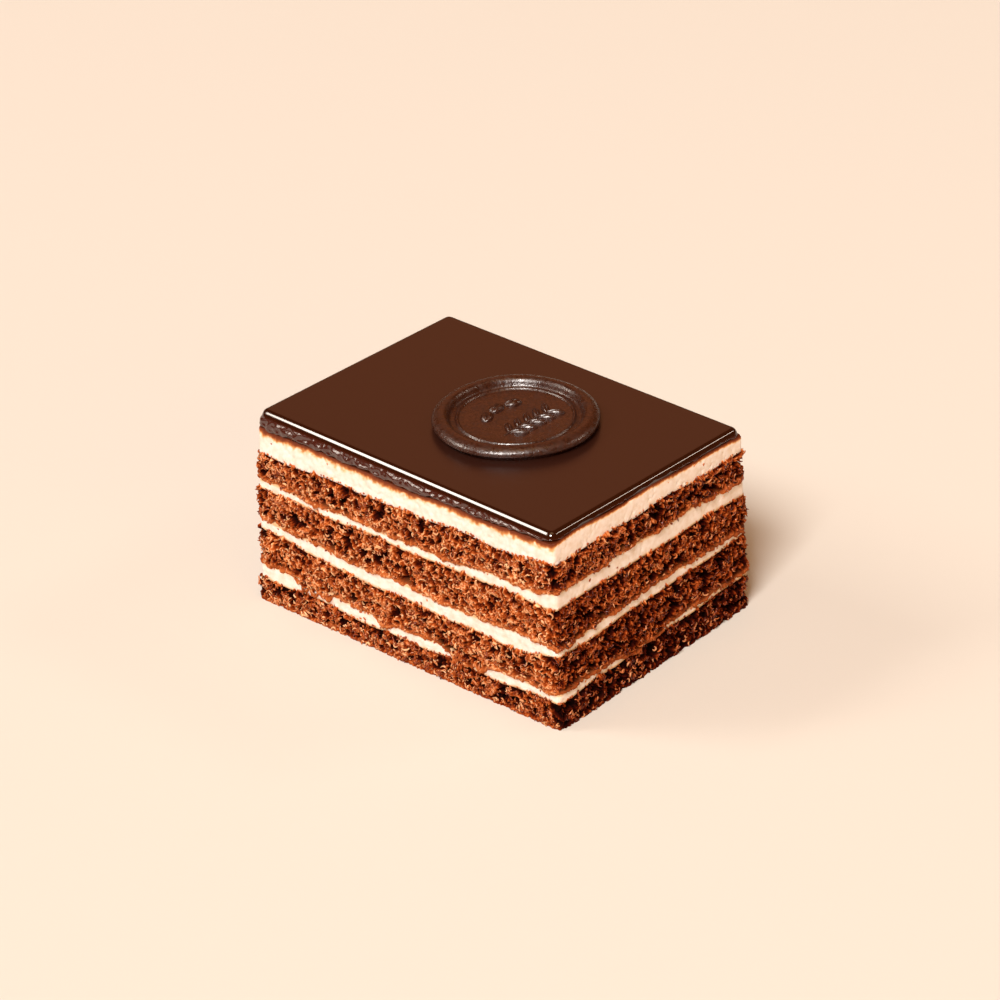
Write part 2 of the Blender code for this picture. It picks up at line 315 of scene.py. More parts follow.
def profileAt(run, height, lip, footRadius, topRadius):
    # a slab's section from under its foot, round the lower edge, up the wall and in over the top:
    # inset, lift, share of the way from foot seam to top seam, and how far the surface faces out and up
    if run < lip - footRadius:
        return lip - run, 0.0, 0.0, 0.0, -1.0
    run -= lip - footRadius
    if run < 0.5 * math.pi * footRadius:
        turn = run / footRadius
        inset, lift = footRadius * (1 - math.sin(turn)), footRadius * (1 - math.cos(turn))
        return inset, lift, 0.0, math.sin(turn), -math.cos(turn)
    run -= 0.5 * math.pi * footRadius
    wall = height - footRadius - topRadius
    if run < wall:
        share = run / wall
        return 0.0, footRadius * (1 - share) - topRadius * share, share, 1.0, 0.0
    run -= wall
    if run < 0.5 * math.pi * topRadius:
        turn = run / topRadius
        inset, lift = topRadius * (1 - math.cos(turn)), -topRadius * (1 - math.sin(turn))
        return inset, lift, 1.0, math.cos(turn), math.sin(turn)
    return topRadius + run - 0.5 * math.pi * topRadius, 0.0, 1.0, 0.0, 1.0


ringWeld, lidWeld = 0.0005, 1.5     # mm, within which points join where a slab's ring meets and in its lids


def rollSlab(settings, lowHeight, highHeight, surface):
    # a fine grid rolled round the slice, so that its cut faces can carry relief, then closed above and below;
    # surface(place, normal, above the foot, below the top) gives the push and two values for the material
    standOut, radius, cell = settings["standOut"], settings["cornerRadius"], settings["cell"]
    lip, footRadius, topRadius = settings["lip"], settings["footRadius"], settings["topRadius"]
    length = outlineLength(standOut, radius)
    height = highHeight(0, -sliceShape["width"] / 2) - lowHeight(0, -sliceShape["width"] / 2)
    arcs = 0.5 * math.pi * (footRadius + topRadius)
    section = 2 * lip + height - 2 * (footRadius + topRadius) + arcs
    columns, rows = round(length / cell), round(section / cell)
    ring = [outlineAt(length * i / columns, standOut, radius) for i in range(columns)]
    lows = [lowHeight(point.x, point.y) for point, out in ring]
    highs = [highHeight(point.x, point.y) for point, out in ring]
    profile = [profileAt(section * i / rows, height, lip, footRadius, topRadius) for i in range(rows + 1)]
    bm = bmesh.new()
    bmesh.ops.create_grid(bm, x_segments=columns, y_segments=rows, size=0.5)
    rowMark = bm.verts.layers.int.new("row")
    depth = bm.verts.layers.float.new("depth")
    stain = bm.verts.layers.float.new("stain")
    for vert in bm.verts:
        column = round((vert.co.x + 0.5) * columns) % columns
        vert[rowMark] = round((vert.co.y + 0.5) * rows)
        inset, lift, share, outward, upward = profile[vert[rowMark]]
        point, out = ring[column]
        z = lows[column] * (1 - share) + highs[column] * share + lift
        place = Vector((point.x - out.x * inset, point.y - out.y * inset, z))
        normal = Vector((out.x * outward, out.y * outward, upward))
        push, vert[depth], vert[stain] = surface(place, normal, z - lows[column], highs[column] - z)
        place += push
        vert.co = placeOnSlice(place.x, place.y, max(place.z, 0.0))
    bmesh.ops.remove_doubles(bm, verts=bm.verts, dist=ringWeld * mm)
    for row, heightAt in ((0, lowHeight), (rows, highHeight)):
        edges = [edge for edge in bm.edges if edge.is_boundary and edge.verts[0][rowMark] == row]
        closeEnd(bm, edges, heightAt, settings["lidShare"])
    return bm


def closeEnd(bm, edges, heightAt, lidShare):
    # draws one open end in along its seam, fills it and gives the fill a middle point on the seam
    made = bmesh.ops.extrude_edge_only(bm, edges=edges)["geom"]
    inner = [part for part in made if isinstance(part, bmesh.types.BMVert)]
    for vert in inner:
        x, y = vert.co.x / mm * lidShare, vert.co.y / mm * lidShare
        vert.co = Vector((x, y, heightAt(x, y))) * mm
    bmesh.ops.remove_doubles(bm, verts=inner, dist=lidWeld * mm)
    rim = {edge for vert in inner if vert.is_valid for edge in vert.link_edges if edge.is_boundary}
    lid = bmesh.ops.edgeloop_fill(bm, edges=list(rim))["faces"]
    for vert in bmesh.ops.poke(bm, faces=lid)["verts"]:
        vert.co.z = heightAt(vert.co.x / mm, vert.co.y / mm) * mm


def seamSide(index, shift):
    return lambda x, y: seamHeight(index, x, y) + shift


# loose shapes: a few templates copied many times and joined into one mesh

def templateArrays(bm):
    bmesh.ops.triangulate(bm, faces=bm.faces)
    verts = np.array([tuple(vert.co) for vert in bm.verts])
    faces = np.array([[vert.index for vert in face.verts] for face in bm.faces])
    bm.free()
    return verts, faces


def joinCopies(name, templates, placements, material):
    # each placement is a template's number, a 3 x 3 turn and scale, a place in metres and a depth value
    points, faces, depths, count = [], [], [], 0
    for number, turn, place, depth in placements:
        verts, triangles = templates[number]
        points.append(verts @ np.array(turn).T + np.array(place))
        faces.append(triangles + count)
        depths.append(np.full(len(verts), depth))
        count += len(verts)
    points = np.vstack(points)
    points[:, 2] = np.maximum(points[:, 2], 0)      # nothing reaches into the floor
    mesh = bpy.data.meshes.new(name)
    mesh.from_pydata(points.tolist(), [], np.vstack(faces).tolist())
    mesh.attributes.new("depth", "FLOAT", "POINT").data.foreach_set("value", np.concatenate(depths))
    mesh.attributes.new("stain", "FLOAT", "POINT")
    linkPiece(mesh, name, material)


# cocoa sponge
crumbSettings = dict(
    standOut=1.0, cornerRadius=1.6, cell=0.19, lip=1.3, footRadius=0.35, topRadius=0.2, lidShare=0.9,
    # broad lumps, as in the solid; the lowest sponge's weight presses them flat near the floor
    lumpDepth=0.85, lumpSize=2.6, lumpShares=(0.75, 0.45), lumpStep=2.1, lumpShift=(7, 3, 5), deepestLump=0.8,
    # the lowest sponge's colour is made darker, as painted shade
    floorCalm=0.8, floorZone=(1.6, 0.2), paintedFloorShade=0.12,
    # the cells of the crumb are bent out of their even shape
    warpSize=0.9, warpReach=0.68,
    # holes up to 2 mm across, where the noise of a large cell is above a limit
    holeSize=2.3, holeDepth=1.15, holeEdge=(0.05, 0.3), holeDraw=5.3, holeLimit=0.22,
    # open pores up to about 1.5 mm across, some shallower than others, and wider below their rims
    poreSize=1.75, poreDepth=1.3, poreEdge=(0.08, 0.36), poreDraw=3.7, leastPore=0.4, poreSwing=0.7,
    undercut=0.2,
    finePoreSize=0.8, finePoreDepth=0.42, finePoreEdge=(0.04, 0.4), wallEdge=0.14,
    grainDepth=0.12, grainSize=0.4,
    # a sponge's foot is a smoother, stained band, and its upper edge is torn deepest
    skinZone=(0.2, 1.0), floorSkin=1.5, skinTear=0.25, stainZone=(1.2, 0.25),
    topTear=0.15, topZone=(1.3, 0.3),
    # the short cut faces are torn deeper, and painted shade makes them darker, most of all low down
    shortFaceTear=0.35, paintedShortFaceShade=0.2, shadeFoot=1.3,
    # tones of a pore's rim and bottom, of the thin walls and of small specks; the darker bottom is painted
    # shade and the lighter walls a painted highlight
    rimTone=0.82, paintedPoreShade=0.75, paintedWallHighlight=0.18, speckTone=0.1, speckSize=0.5,
    strandRise=0.5, lowest=-1.8, lowestAtCorner=-0.9,
    # swing of the torn edges up and down, and how far the upper one stays under its seam
    raggedTop=0.38, raggedFoot=0.15, raggedSizes=(1.5, 0.7), topGap=0.05,
)


def crumbSurface(onFloor, place, normal, aboveFoot, belowTop):
    # broad lumps as in the solid, then torn pores of three sizes with thin walls between them
    s = crumbSettings
    broad = place / s["lumpSize"]
    lumps = s["lumpShares"][0] * noise.noise(broad)
    lumps += s["lumpShares"][1] * noise.noise(broad * s["lumpStep"] + Vector(s["lumpShift"]))
    push = s["lumpDepth"] * max(lumps, -s["deepestLump"])
    if onFloor:
        push *= 1 - s["floorCalm"] * ease(*s["floorZone"], aboveFoot)
    warped = place + noise.noise_vector(place / s["warpSize"]) * s["warpReach"]
    distances, points = noise.voronoi(warped / s["poreSize"])
    draw = 0.5 + s["poreSwing"] * noise.noise(points[0] * s["poreDraw"])
    deepness = s["leastPore"] + (1 - s["leastPore"]) * draw
    pore = ease(*s["poreEdge"], distances[1] - distances[0])
    fine = noise.voronoi(warped / s["finePoreSize"])[0]
    finePore = ease(*s["finePoreEdge"], fine[1] - fine[0])
    wide, middles = noise.voronoi(warped / s["holeSize"])
    isHole = noise.noise(middles[0] * s["holeDraw"]) > s["holeLimit"]
    hole = ease(*s["holeEdge"], wide[1] - wide[0]) * isHole
    skinStart, skinEnd = s["skinZone"]
    skinShare = ease(skinStart, skinEnd * (s["floorSkin"] if onFloor else 1.0), aboveFoot)
    strength = s["skinTear"] + (1 - s["skinTear"]) * skinShare + s["topTear"] * ease(*s["topZone"], belowTop)
    strength *= 1 + s["shortFaceTear"] * abs(normal.x)
    sunk = s["poreDepth"] * pore * deepness + s["finePoreDepth"] * finePore + s["holeDepth"] * hole
    sunk *= strength
    grain = s["grainDepth"] * noise.noise(place / s["grainSize"])
    corner = 4 * (normal.x * normal.y) ** 2         # 1 in the middle of a plan corner, 0 on the sides
    lowest = s["lowest"] + (s["lowestAtCorner"] - s["lowest"]) * corner
    rise = max(push - sunk + grain + s["strandRise"], lowest)
    away = warped - points[0] * s["poreSize"]
    away -= normal * away.dot(normal)
    slide = away.normalized() * s["undercut"] * 4 * pore * (1 - pore) * strength
    wall = 1 - ease(0.0, s["wallEdge"], fine[1] - fine[0])
    # painted shade darkens the pores by how deep they sink, and a painted highlight lightens the thin walls
    tone = s["rimTone"] - s["paintedPoreShade"] * sunk / s["poreDepth"] + s["paintedWallHighlight"] * wall
    tone += s["speckTone"] * noise.noise(place / s["speckSize"])
    # painted shade makes the lowest sponge darker
    tone -= s["paintedFloorShade"] * onFloor
    # painted shade makes the short cut faces darker, most of all low down
    tone -= s["paintedShortFaceShade"] * abs(normal.x) * (s["shadeFoot"] - place.z / sliceShape["height"])
    stain = 0.0 if onFloor else ease(*s["stainZone"], aboveFoot)
    return normal * rise + slide, min(max(tone, 0.0), 1.0), stain


spongeTones = dict(
    # tones from near black, the painted shade deep in the pores, to pale, where thin walls carry a painted
    # highlight
    crumb=((0.0, "140200"), (0.35, "400B00"), (0.6, "8A360C"), (0.8, "CC7038"), (1.0, "FFCE9C")),
    patchSize=5.0, patches=((0.3, "D8C4B4"), (0.7, "FFFFFF")),
    foot="A85C30", footShare=0.45,
    grainSize=0.3, grainHeight=0.12, grainStrength=0.6,
)


def makeSpongeMaterial(name, roughness, gloss):
    # baked cocoa sponge: torn, matt crumb; its colour is lighter along the thin walls, a painted highlight,
    # and its pores go nearly black with painted shade
    tones = spongeTones
    material, shader = newMaterial(name)
    where = addNode(material, "ShaderNodeTexCoord").outputs["Object"]
    depth = addNode(material, "ShaderNodeAttribute", dict(attribute_name="depth")).outputs["Fac"]
    tone = fillRamp(addNode(material, "ShaderNodeValToRGB", links=dict(Fac=depth)), *tones["crumb"])
    patches = addNode(
        material, "ShaderNodeTexNoise", values=dict(Scale=1 / (tones["patchSize"] * mm), Detail=2.0),
        links=dict(Vector=where))
    patchTone = fillRamp(
        addNode(material, "ShaderNodeValToRGB", links=dict(Fac=patches.outputs["Fac"])), *tones["patches"])
    mixed = addNode(
        material, "ShaderNodeMix", dict(data_type="RGBA", blend_type="MULTIPLY"), {0: 1.0},
        {mixFirst: tone, mixSecond: patchTone})
    # pressed, syrupy foot of each sponge: smoother and more orange
    foot = addNode(material, "ShaderNodeAttribute", dict(attribute_name="stain")).outputs["Fac"]
    footShare = addNode(
        material, "ShaderNodeMath", dict(operation="MULTIPLY"), {1: tones["footShare"]}, {0: foot})
    footed = addNode(
        material, "ShaderNodeMix", dict(data_type="RGBA"), {mixSecond: hexToLinear(tones["foot"])},
        {0: footShare.outputs[0], mixFirst: mixed.outputs[mixResult]})
    material.node_tree.links.new(footed.outputs[mixResult], shader.inputs["Base Color"])
    shader.inputs["Roughness"].default_value = roughness
    shader.inputs["Specular IOR Level"].default_value = gloss
    grain = addNode(
        material, "ShaderNodeTexNoise", values=dict(Scale=1 / (tones["grainSize"] * mm), Detail=2.0),
        links=dict(Vector=where))
    bump = addNode(
        material, "ShaderNodeBump", links=dict(Height=grain.outputs["Fac"]),
        values=dict(Strength=tones["grainStrength"], Distance=tones["grainHeight"] * mm))
    material.node_tree.links.new(bump.outputs["Normal"], shader.inputs["Normal"])
    return material


# places where crumb hangs down over the lowest cream, in mm along the long and the short cut faces
bridgeSettings = dict(
    long=((10, 19), (33.5, 36), (51, 62)), short=((18, 30),), fade=2.2,
    reach=0.95,                                     # how much of the cream's height the crumb covers
    ragged=1.4, mean=0.85, swing=0.8,
)


def bridgeAt(x, y):
    s = bridgeSettings
    onShortFace = abs(x) > sliceShape["length"] / 2 - 1
    along = y + sliceShape["width"] / 2 if onShortFace else x + sliceShape["length"] / 2
    fade = s["fade"]
    share = max(
        ease(start - fade, start + fade, along) * ease(end + fade, end - fade, along)
        for start, end in s["short" if onShortFace else "long"])
    return min(share * (s["mean"] + s["swing"] * noise.noise(Vector((x, y, 5)) / s["ragged"])), 1.0)


def raggedEdge(x, y, level):
    place = Vector((x, y, level))
    broad, fine = crumbSettings["raggedSizes"]
    return noise.noise(place / broad) + 0.5 * noise.noise(place / fine)


def spongeSides(number):
    # the heights of a sponge's underside and top, as functions of the plan
    s = crumbSettings

    def low(x, y):
        if number == 1:
            return 0.0
        seam = seamHeight(2 * number - 3, x, y)
        hang = bridgeAt(x, y) * (seam - seamHeight(0, x, y)) * bridgeSettings["reach"] if number == 2 else 0.0
        return seam + seamGap - hang + s["raggedFoot"] * raggedEdge(x, y, 10 * number)

    def high(x, y):
        seam = seamHeight(2 * number - 2, x, y)
        return seam - s["topGap"] + s["raggedTop"] * raggedEdge(x, y, 10 * number + 5)

    return low, high


def makeSponges():
    material = makeSpongeMaterial("baked cocoa sponge", 0.8, 0.05)
    for number in range(1, 5):
        low, high = spongeSides(number)
        onFloor = number == 1
        bm = rollSlab(crumbSettings, low, high, lambda *spot: crumbSurface(onFloor, *spot))
        linkPiece(meshFrom(bm), f"sponge_crumb_{number}", material, f"sponge_{number}")


makeSponges()


# torn strands of crumb, curled and half sunk in the walls between the pores
curlSettings = dict(
    perSponge=2400, seed=11,
    # the shape of a strand: its ends are thin and its middle is thicker
    length=1.7, endRadius=0.1015, middleSwell=1.2, bends=(110, 160, 215, 280), rise=0.12, segments=6,
    sizes=(0.6, 1.2), widths=(0.8, 1.2),
    # where strands lie: not in a pore, clear of the seams, sunk a little and tilted either way
    shallowest=0.36, aboveFoot=0.4, belowTop=0.1, aboveFloor=0.3, sink=(0.0, 0.2), tilt=28,
    # the tones of the strands, and the painted shade that makes those on the short cut faces darker
    tones=(0.5, 1.0), paintedShortFaceShade=0.12,
)


def makeCurlTemplate(bend):
    # a three-sided rod, thinner at its ends, bent round an arc of so many degrees and lifted like a spring
    s = curlSettings
    bm = bmesh.new()
    bmesh.ops.create_cone(
        bm, segments=3, radius1=s["endRadius"], radius2=s["endRadius"], depth=s["length"], cap_ends=True)
    sides = [edge for edge in bm.edges if abs(edge.verts[0].co.z - edge.verts[1].co.z) > s["length"] / 2]
    bmesh.ops.subdivide_edges(bm, edges=sides, cuts=s["segments"] - 1, use_grid_fill=True)
    turn = math.radians(bend)
    arc = s["length"] / turn
    for vert in bm.verts:
        share = vert.co.z / s["length"]
        swell = 1 + s["middleSwell"] * math.cos(math.pi * share)
        angle = turn * share
        reach = arc + vert.co.x * swell
        x, y = reach * math.cos(angle) - arc, reach * math.sin(angle)
        vert.co = Vector((x, y, vert.co.y * swell + s["rise"] * 2 * share)) * mm
    return templateArrays(bm)


def makeCurls():
    s = curlSettings
    templates = [makeCurlTemplate(bend) for bend in s["bends"]]
    material = makeSpongeMaterial("moist sponge strands", 0.22, 0.45)
    standOut, radius = crumbSettings["standOut"], crumbSettings["cornerRadius"]
    length = outlineLength(standOut, radius)
    tilt = math.radians(s["tilt"])
    for number in range(1, 5):
        draw = random.Random(s["seed"] + number)
        low, high = spongeSides(number)
        placements = []
        while len(placements) < s["perSponge"]:
            point, out = outlineAt(draw.uniform(0, length), standOut, radius)
            foot, top = low(point.x, point.y), high(point.x, point.y)
            z = draw.uniform(foot + s["aboveFoot"], top - s["belowTop"])
            normal = Vector((out.x, out.y, 0))
            place = Vector((point.x, point.y, z))
            push, tone, stain = crumbSurface(number == 1, place, normal, z - foot, top - z)
            if tone < s["shallowest"]:
                continue
            place += push - normal * draw.uniform(*s["sink"])
            facing = normal.to_track_quat("Z", "Y").to_matrix()
            tiltX, tiltY = draw.uniform(-tilt, tilt), draw.uniform(-tilt, tilt)
            spin = Euler((tiltX, tiltY, draw.uniform(0, 2 * math.pi)), "ZYX").to_matrix()
            scale = draw.uniform(*s["sizes"])
            turn = facing @ spin @ Matrix.Diagonal((scale, scale * draw.uniform(*s["widths"]), scale))
            place = placeOnSlice(place.x, place.y, max(place.z, s["aboveFloor"]))
            # painted shade makes strands on the short cut faces darker
            tone = draw.uniform(*s["tones"]) - s["paintedShortFaceShade"] * abs(out.x)
            placements.append((draw.randrange(len(templates)), turn, place, tone))
        joinCopies(f"crumb_strands_{number}", templates, placements, material)


makeCurls()


# cream filling
creamSettings = dict(
    standOut=0.8, cornerRadius=1.0, cell=0.26, lip=0.9, footRadius=0.2, topRadius=0.2, lidShare=0.9,
    overlap=0.35,                                   # how far it reaches past its seams, so that no gap shows
    rippleDepth=0.12, rippleSize=5.0, rippleShift=(11, 2, 4),
    dragDepth=0.1, dragSize=(1.6, 1.6, 0.7),        # marks of the knife, drawn out along the cut
    poreDepth=0.16, poreSize=0.9, poreEdge=(0.25, 0.6),
    # how far the glaze's stain runs down the top cream, least where it was cut cleanly, and its uneven edge
    fringe=1.9, cleanFringe=0.4, fringeSwing=0.55, raggedSizes=(1.9, 0.6), fineShare=0.8, leastFringe=0.1,
    crumbStain=0.3, crumbFringe=0.3,                # the fainter stain where crumb touches the other creams
    shoulder=0.3, shoulderZone=(0.8, 0.0),          # the top cream falls back under the glaze
    bridgeRecess=0.25,                              # where crumb hangs over the lowest cream
    shortFaceCalm=0.6,                              # the short faces were cut with a cleaner knife
)


def creamSurface(number, place, normal, aboveFoot, belowTop):
    s = creamSettings
    calm = 1 - s["shortFaceCalm"] * abs(normal.x)
    shift = Vector(s["rippleShift"])
    rise = calm * s["rippleDepth"] * noise.noise(place / s["rippleSize"] + shift)
    rise += calm * s["dragDepth"] * noise.noise(Vector([a / b for a, b in zip(place, s["dragSize"])]))
    rise -= s["poreDepth"] * ease(*s["poreEdge"], noise.noise(place / s["poreSize"] + shift))
    broad, fine = s["raggedSizes"]
    ragged = noise.noise(place / broad) + s["fineShare"] * noise.noise(place / fine)
    if number == 4:
        facing = s["cleanFringe"] + (1 - s["cleanFringe"]) * max(-normal.y, 0.0)
        reach = s["fringe"] * facing * max(1 + s["fringeSwing"] * ragged, s["leastFringe"])
        stain = ease(reach, 0.0, belowTop - s["overlap"])
        rise -= s["shoulder"] * ease(*s["shoulderZone"], belowTop)
    else:
        reach = s["crumbFringe"] * max(1 + ragged, s["leastFringe"])
        stain = s["crumbStain"] * ease(reach, 0.0, min(aboveFoot, belowTop) - s["overlap"])
    if number == 1:
        rise -= s["bridgeRecess"] * bridgeAt(place.x, place.y)
    return normal * rise, 1.0, stain


def makeCreamMaterial():
    # whipped buttercream: soft, nearly white, lets a little light in; stained where glaze or crumb touches it
    material, shader = newMaterial("whipped buttercream")
    where = addNode(material, "ShaderNodeTexCoord").outputs["Object"]
    stain = addNode(material, "ShaderNodeAttribute", dict(attribute_name="stain")).outputs["Fac"]
    tone = fillRamp(
        addNode(material, "ShaderNodeValToRGB", links=dict(Fac=stain)),
        (0.0, "EEE0D8"), (0.2, "ECCBA4"), (0.45, "C88448"), (0.75, "8C441C"), (1.0, "5E2408"))
    churn = addNode(
        material, "ShaderNodeTexNoise", values=dict(Scale=1 / (1.5 * mm), Detail=4.0),
        links=dict(Vector=where))
    churnTone = fillRamp(
        addNode(material, "ShaderNodeValToRGB", links=dict(Fac=churn.outputs["Fac"])),
        (0.3, "F3EADF"), (0.6, "FFFFFF"))
    mixed = addNode(
        material, "ShaderNodeMix", dict(data_type="RGBA", blend_type="MULTIPLY"), {0: 1.0},
        {mixFirst: tone, mixSecond: churnTone})
    material.node_tree.links.new(mixed.outputs[mixResult], shader.inputs["Base Color"])
    shader.inputs["Roughness"].default_value = 0.55
    shader.inputs["Specular IOR Level"].default_value = 0.25
    shader.inputs["Subsurface Weight"].default_value = 0.25
    shader.inputs["Subsurface Radius"].default_value = (1.0, 0.85, 0.7)
    shader.inputs["Subsurface Scale"].default_value = 0.8 * mm
    bump = addNode(
        material, "ShaderNodeBump", values=dict(Strength=0.3, Distance=0.15 * mm),
        links=dict(Height=churn.outputs["Fac"]))
    material.node_tree.links.new(bump.outputs["Normal"], shader.inputs["Normal"])
    return material


def makeCreams():
    material = makeCreamMaterial()
    for number in range(1, 5):
        low = seamSide(2 * number - 2, seamGap - creamSettings["overlap"])
        high = seamSide(2 * number - 1, creamSettings["overlap"] - seamGap)
        bm = rollSlab(creamSettings, low, high, lambda *spot: creamSurface(number, *spot))
        linkPiece(meshFrom(bm), f"cream_filling_{number}", material, f"cream_{number}")


makeCreams()


# crumbs that the knife dragged onto the creams
dragSettings = dict(
    perCream=260, seed=31, sizes=(0.18, 0.5), widths=(0.6, 1.0), lumpiness=(0.7, 1.2), flatness=0.6,
    # most lie within this many mm of a seam, and the rest, with the strays, are smaller
    edge=0.3, footShare=0.6, strayShare=0.06, farSize=0.7,
    tones=(0.6, 0.95),
)


def makeDraggedCrumbs():
    s = dragSettings
    bm = bmesh.new()
    bmesh.ops.create_icosphere(bm, subdivisions=1, radius=mm)
    draw = random.Random(s["seed"])
    for vert in bm.verts:
        vert.co *= draw.uniform(*s["lumpiness"])
    templates = [templateArrays(bm)]
    standOut, radius = creamSettings["standOut"], creamSettings["cornerRadius"]
    length = outlineLength(standOut, radius)
    placements = []
    for number in range(1, 5):
        low, high = seamSide(2 * number - 2, seamGap), seamSide(2 * number - 1, -seamGap)
        for count in range(s["perCream"]):
            point, out = outlineAt(draw.uniform(0, length), standOut, radius)
            foot, top = low(point.x, point.y), high(point.x, point.y)
            near = abs(draw.gauss(0, s["edge"] / 2))
            z = foot + near if draw.random() < s["footShare"] or number == 4 else top - near
            if draw.random() < s["strayShare"]:
                z = draw.uniform(foot, top)
            normal = Vector((out.x, out.y, 0))
            place = Vector((point.x, point.y, z))
            push, tone, stain = creamSurface(number, place, normal, z - foot, top - z)
            place += push
            facing = normal.to_track_quat("Z", "Y").to_matrix()
            scale = draw.uniform(*s["sizes"]) * (1.0 if near < s["edge"] else s["farSize"])
            spin = Euler((0, 0, draw.uniform(0, 2 * math.pi))).to_matrix()
            width = scale * draw.uniform(*s["widths"])
            turn = facing @ spin @ Matrix.Diagonal((scale, width, scale * s["flatness"]))
            placements.append((0, turn, placeOnSlice(*place), draw.uniform(*s["tones"])))
    material = makeSpongeMaterial("dragged cocoa crumbs", 0.5, 0.4)
    joinCopies("dragged_crumbs", templates, placements, material)


makeDraggedCrumbs()


# poured glaze
glazeSettings = dict(
    standOut=0.45, cornerRadius=1.7, cell=0.2, lip=1.6, footRadius=0.25, topRadius=1.4, lidShare=0.9,
    wrinkleDepth=0.34, wrinkleSize=2.1, fineDepth=0.12, fineSize=0.9, fineShift=(3, 1, 8),
    squeeze=1.7,                                    # the wrinkles are that much closer together up and down
    wrinkleZone=(1.3, 2.0),                         # below the rounded edge
    smoothShare=0.06,                               # what is left of them on the sides that were cut cleanly
    footBulge=0.6, bulgeZone=(0.9, 2.7),
    footSwing=0.4, footWave=1.9,                    # the lower edge runs up and down a little
    flatZone=(1.0, 0.95), cutZone=(0.9, 1.6),       # where the flat top ends and the cut side begins
)


def glazeFoot(x, y):
    wave = noise.noise(Vector((x, y, 0)) / glazeSettings["footWave"])
    return seamHeight(7, x, y) + seamGap - glazeSettings["footSwing"] * wave


def glazeSurface(place, normal, aboveFoot, belowTop):
    # the cut side of the glaze puckered as it set, most of all along the front
    s = glazeSettings
    facing = s["smoothShare"] + (1 - s["smoothShare"]) * max(-normal.y, 0.0) ** 2
    share = ease(*s["wrinkleZone"], belowTop) * facing
    folded = Vector((place.x, place.y, s["squeeze"] * place.z))
    ridges = 0.5 - 2.2 * abs(noise.noise(folded / s["wrinkleSize"]))        # sharp crests with round valleys
    fine = noise.noise(folded / s["fineSize"] + Vector(s["fineShift"]))
    outward = Vector((normal.x, normal.y, 0))
    bulge = s["footBulge"] * ease(*s["bulgeZone"], belowTop)
    push = (s["wrinkleDepth"] * ridges + s["fineDepth"] * fine) * share
    return normal * push + outward * bulge, ease(*s["flatZone"], normal.z), ease(*s["cutZone"], belowTop)


def makeGlazeMaterial():
    # poured dark chocolate glaze: set to a satin sheen where it lies flat, mirror-bright round its poured
    # edge, duller where the knife went through it
    material, shader = newMaterial("poured dark chocolate glaze")
    cut = addNode(material, "ShaderNodeAttribute", dict(attribute_name="stain")).outputs["Fac"]
    edge = addNode(material, "ShaderNodeAttribute", dict(attribute_name="depth")).outputs["Fac"]
    # 0 on the flat top, 0.5 round the edge and 1 on the cut side; the darker colour round the edge is painted
    # shade
    zone = addNode(material, "ShaderNodeMath", dict(operation="ADD"), links={0: edge, 1: cut}).outputs[0]
    half = addNode(material, "ShaderNodeMath", dict(operation="MULTIPLY"), {1: 0.5}, {0: zone}).outputs[0]
    tone = fillRamp(
        addNode(material, "ShaderNodeValToRGB", links=dict(Fac=half)),
        (0.0, "2C1108"), (0.5, "240904"), (1.0, "3A1006"))
    material.node_tree.links.new(tone, shader.inputs["Base Color"])
    satin = addNode(
        material, "ShaderNodeMapRange", values={"To Min": 0.34, "To Max": 0.06}, links=dict(Value=edge))
    dull = addNode(
        material, "ShaderNodeMath", dict(operation="MULTIPLY_ADD"), {1: 0.16}, {0: cut, 2: satin.outputs[0]})
    material.node_tree.links.new(dull.outputs[0], shader.inputs["Roughness"])
    shader.inputs["Specular IOR Level"].default_value = 1.0
    return material


def makeGlaze():
    bm = rollSlab(glazeSettings, glazeFoot, lambda x, y: sliceShape["height"], glazeSurface)
    linkPiece(meshFrom(bm), "glaze_plate", makeGlazeMaterial(), "glaze")


makeGlaze()


# moulded chocolate seal lying on the glaze
sealSettings = dict(
    centre=(4.4, 0.8), radius=17.1, fieldHeight=1.42, fieldInset=7.0, steps=120,
    # the turned section from the edge of the foot to the field: how far in from the edge, and height
    rim=(
        (4.5, 0.0), (1.3, 0.0), (1.15, 0.15), (1.05, 0.6), (0.7, 0.85), (0.22, 1.02), (0.03, 1.22),
        (0.0, 1.42), (0.1, 1.8), (0.36, 2.18), (0.8, 2.5), (1.3, 2.7), (1.85, 2.82), (2.4, 2.86),
        (2.85, 2.74), (3.22, 2.4), (3.45, 1.95), (3.62, 1.5), (3.85, 1.24), (4.2, 1.22), (4.5, 1.36),
    ),
    # the fine ring in the field: how far out from its own radius, and height above the field
    ringRadius=11.9,
    ring=((0.5, -0.08), (0.3, 0.04), (0.14, 0.34), (0.0, 0.44), (-0.14, 0.34), (-0.3, 0.04), (-0.5, 0.0)),
    # the rim isn't quite round: waves to a turn, start and size of each, felt only near the edge
    unevenness=0.012, lobes=((3, 0.6, 1.0), (5, 2.0, 0.6)), edgePower=6,
)


